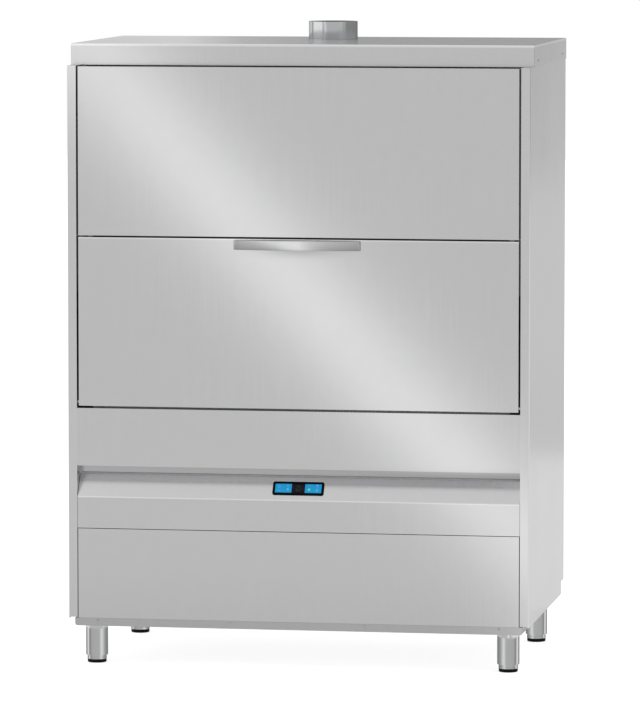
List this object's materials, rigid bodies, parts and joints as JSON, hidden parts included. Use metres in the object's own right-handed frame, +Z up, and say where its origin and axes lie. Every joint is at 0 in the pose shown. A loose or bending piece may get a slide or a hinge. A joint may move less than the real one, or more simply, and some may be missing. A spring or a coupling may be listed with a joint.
{
  "type": "utensil washer",
  "caption": "Free-standing stainless utensil washer with a split front door, sloped control fascia, exhaust collar and screw feet.",
  "frame": {"origin": "on the floor, in the middle of the machine's width and depth", "axes": "+X to the right seen from the front, +Y to the back, +Z up"},
  "size_m": [1.4692, 0.918, 2.011],
  "materials": {
    "panel_steel": "fine brushed stainless steel",
    "frame_steel": "folded stainless steel, slightly darker",
    "leg_steel": "polished stainless tube",
    "collar_steel": "rolled stainless sheet",
    "handle_steel": "satin bowed strip",
    "liner_steel": "satin stainless sheet",
    "pivot_steel": "turned pins",
    "heater_steel": "sheathed heating element",
    "pipe_steel": "welded stainless pipe",
    "arm_steel": "pressed stainless arm",
    "rack_steel": "electropolished wire",
    "guide_steel": "folded channel",
    "spring_steel": "oiled spring wire",
    "screw_steel": "small button heads",
    "pump_aluminium": "cast housing",
    "bezel_black": "gloss black overlay",
    "display_black": "smoked display window",
    "key_blue": "blue membrane key",
    "seal_rubber": "extruded seal",
    "pad_rubber": "moulded foot pad",
    "bush_plastic": "plain bush",
    "roller_plastic": "rollers on a steel carrier",
    "boiler_jacket": "foam insulation jacket",
    "pump_plastic": "moulded pump",
    "valve_brass": "valve body and thread",
    "gland_plastic": "cable gland",
    "box_plastic": "moulded electrical box"
  },
  "bodies": {
    "root": {"base_frame": "frame_steel", "leg_tubes": "leg_steel", "side_panel_left": "panel_steel", "side_panel_right": "panel_steel", "front_band": "panel_steel", "control_fascia": "panel_steel", "display_bezel": "bezel_black", "display_window": "display_black", "lower_front_panel": "panel_steel", "top_cap": "panel_steel", "exhaust_collar": "collar_steel", "rear_panel": "panel_steel", "hinge_bushes": "bush_plastic", "wash_chamber": "liner_steel", "sump_tank": "liner_steel", "tank_filters": "liner_steel", "tank_heater": "heater_steel", "lower_spray_manifold": "pipe_steel", "upper_spray_manifold": "pipe_steel", "rack_rails": "liner_steel", "door_guides": "guide_steel", "counter_springs": "spring_steel", "wash_pumps": "pump_aluminium", "rinse_boiler": "boiler_jacket", "rinse_pump": "pump_aluminium", "drain_pump": "pump_plastic", "water_inlet": "valve_brass", "cable_gland": "gland_plastic", "electrical_box": "box_plastic", "panel_screws": "screw_steel"},
    "upper_door": {"upper_door_skin": "panel_steel", "upper_door_liner": "liner_steel", "upper_door_seal": "seal_rubber", "upper_door_rollers": "roller_plastic"},
    "lower_door": {"lower_door_skin": "panel_steel", "lower_door_liner": "liner_steel", "lower_door_seal": "seal_rubber", "handle": "handle_steel", "lower_door_pivots": "pivot_steel"},
    "rack_body": {"rack": "rack_steel"},
    "foot_body_front_left": {"foot_front_left": "leg_steel", "foot_pad_front_left": "pad_rubber"},
    "foot_body_front_right": {"foot_front_right": "leg_steel", "foot_pad_front_right": "pad_rubber"},
    "foot_body_rear_left": {"foot_rear_left": "leg_steel", "foot_pad_rear_left": "pad_rubber"},
    "foot_body_rear_right": {"foot_rear_right": "leg_steel", "foot_pad_rear_right": "pad_rubber"},
    "key_body_power": {"key_power": "key_blue"},
    "key_body_drain": {"key_drain": "key_blue"},
    "key_body_start": {"key_start": "key_blue"},
    "key_body_cycle": {"key_cycle": "key_blue"},
    "body_wash_arm_lower_left": {"wash_arm_lower_left": "arm_steel"},
    "body_wash_arm_lower_right": {"wash_arm_lower_right": "arm_steel"},
    "body_wash_arm_upper_left": {"wash_arm_upper_left": "arm_steel"},
    "body_wash_arm_upper_right": {"wash_arm_upper_right": "arm_steel"},
    "body_rinse_arm_lower_left": {"rinse_arm_lower_left": "arm_steel"},
    "body_rinse_arm_lower_right": {"rinse_arm_lower_right": "arm_steel"},
    "body_rinse_arm_upper_left": {"rinse_arm_upper_left": "arm_steel"},
    "body_rinse_arm_upper_right": {"rinse_arm_upper_right": "arm_steel"}
  },
  "joints": [
    {"name": "lower_door_hinge", "type": "hinge", "parent": "root", "child": "lower_door", "pos_m": [0, -0.419, 0.8325], "axis": [1, 0, 0], "range_deg": [0, 90]},
    {"name": "upper_door_slide", "type": "slide", "parent": "root", "child": "upper_door", "axis": [0, 0, 1], "range_m": [0, 0.53], "deforming": ["counter_springs"]},
    {"name": "rack_lift", "type": "slide", "parent": "root", "child": "rack_body", "axis": [0, 0, 1], "range_m": [0, 0.05]},
    {"name": "foot_front_left_adjust", "type": "slide", "parent": "root", "child": "foot_body_front_left", "axis": [0, 0, -1], "range_m": [0, 0.05]},
    {"name": "foot_front_right_adjust", "type": "slide", "parent": "root", "child": "foot_body_front_right", "axis": [0, 0, -1], "range_m": [0, 0.05]},
    {"name": "foot_rear_left_adjust", "type": "slide", "parent": "root", "child": "foot_body_rear_left", "axis": [0, 0, -1], "range_m": [0, 0.05]},
    {"name": "foot_rear_right_adjust", "type": "slide", "parent": "root", "child": "foot_body_rear_right", "axis": [0, 0, -1], "range_m": [0, 0.05]},
    {"name": "key_power_press", "type": "slide", "parent": "root", "child": "key_body_power", "axis": [0, 0.8284, -0.5601], "range_m": [0, 0.0008], "stiffness_N_per_m": 1500},
    {"name": "key_drain_press", "type": "slide", "parent": "root", "child": "key_body_drain", "axis": [0, 0.8284, -0.5601], "range_m": [0, 0.0008], "stiffness_N_per_m": 1500},
    {"name": "key_start_press", "type": "slide", "parent": "root", "child": "key_body_start", "axis": [0, 0.8284, -0.5601], "range_m": [0, 0.0008], "stiffness_N_per_m": 1500},
    {"name": "key_cycle_press", "type": "slide", "parent": "root", "child": "key_body_cycle", "axis": [0, 0.8284, -0.5601], "range_m": [0, 0.0008], "stiffness_N_per_m": 1500},
    {"name": "wash_arm_lower_left_spin", "type": "hinge", "parent": "root", "child": "body_wash_arm_lower_left", "pos_m": [-0.33, -0.003, 0.84], "axis": [0, 0, 1], "continuous": true},
    {"name": "wash_arm_lower_right_spin", "type": "hinge", "parent": "root", "child": "body_wash_arm_lower_right", "pos_m": [0.33, -0.003, 0.84], "axis": [0, 0, 1], "continuous": true},
    {"name": "wash_arm_upper_left_spin", "type": "hinge", "parent": "root", "child": "body_wash_arm_upper_left", "pos_m": [-0.33, -0.003, 0.84], "axis": [0, 0, 1], "continuous": true},
    {"name": "wash_arm_upper_right_spin", "type": "hinge", "parent": "root", "child": "body_wash_arm_upper_right", "pos_m": [0.33, -0.003, 0.84], "axis": [0, 0, 1], "continuous": true},
    {"name": "rinse_arm_lower_left_spin", "type": "hinge", "parent": "root", "child": "body_rinse_arm_lower_left", "pos_m": [-0.33, -0.003, 0.84], "axis": [0, 0, 1], "continuous": true},
    {"name": "rinse_arm_lower_right_spin", "type": "hinge", "parent": "root", "child": "body_rinse_arm_lower_right", "pos_m": [0.33, -0.003, 0.84], "axis": [0, 0, 1], "continuous": true},
    {"name": "rinse_arm_upper_left_spin", "type": "hinge", "parent": "root", "child": "body_rinse_arm_upper_left", "pos_m": [-0.33, -0.003, 0.84], "axis": [0, 0, 1], "continuous": true},
    {"name": "rinse_arm_upper_right_spin", "type": "hinge", "parent": "root", "child": "body_rinse_arm_upper_right", "pos_m": [0.33, -0.003, 0.84], "axis": [0, 0, 1], "continuous": true}
  ],
  "couplings": [
    {"joint": "upper_door_slide", "follows": "lower_door_hinge", "m_per_rad": 0.337}
  ]
}
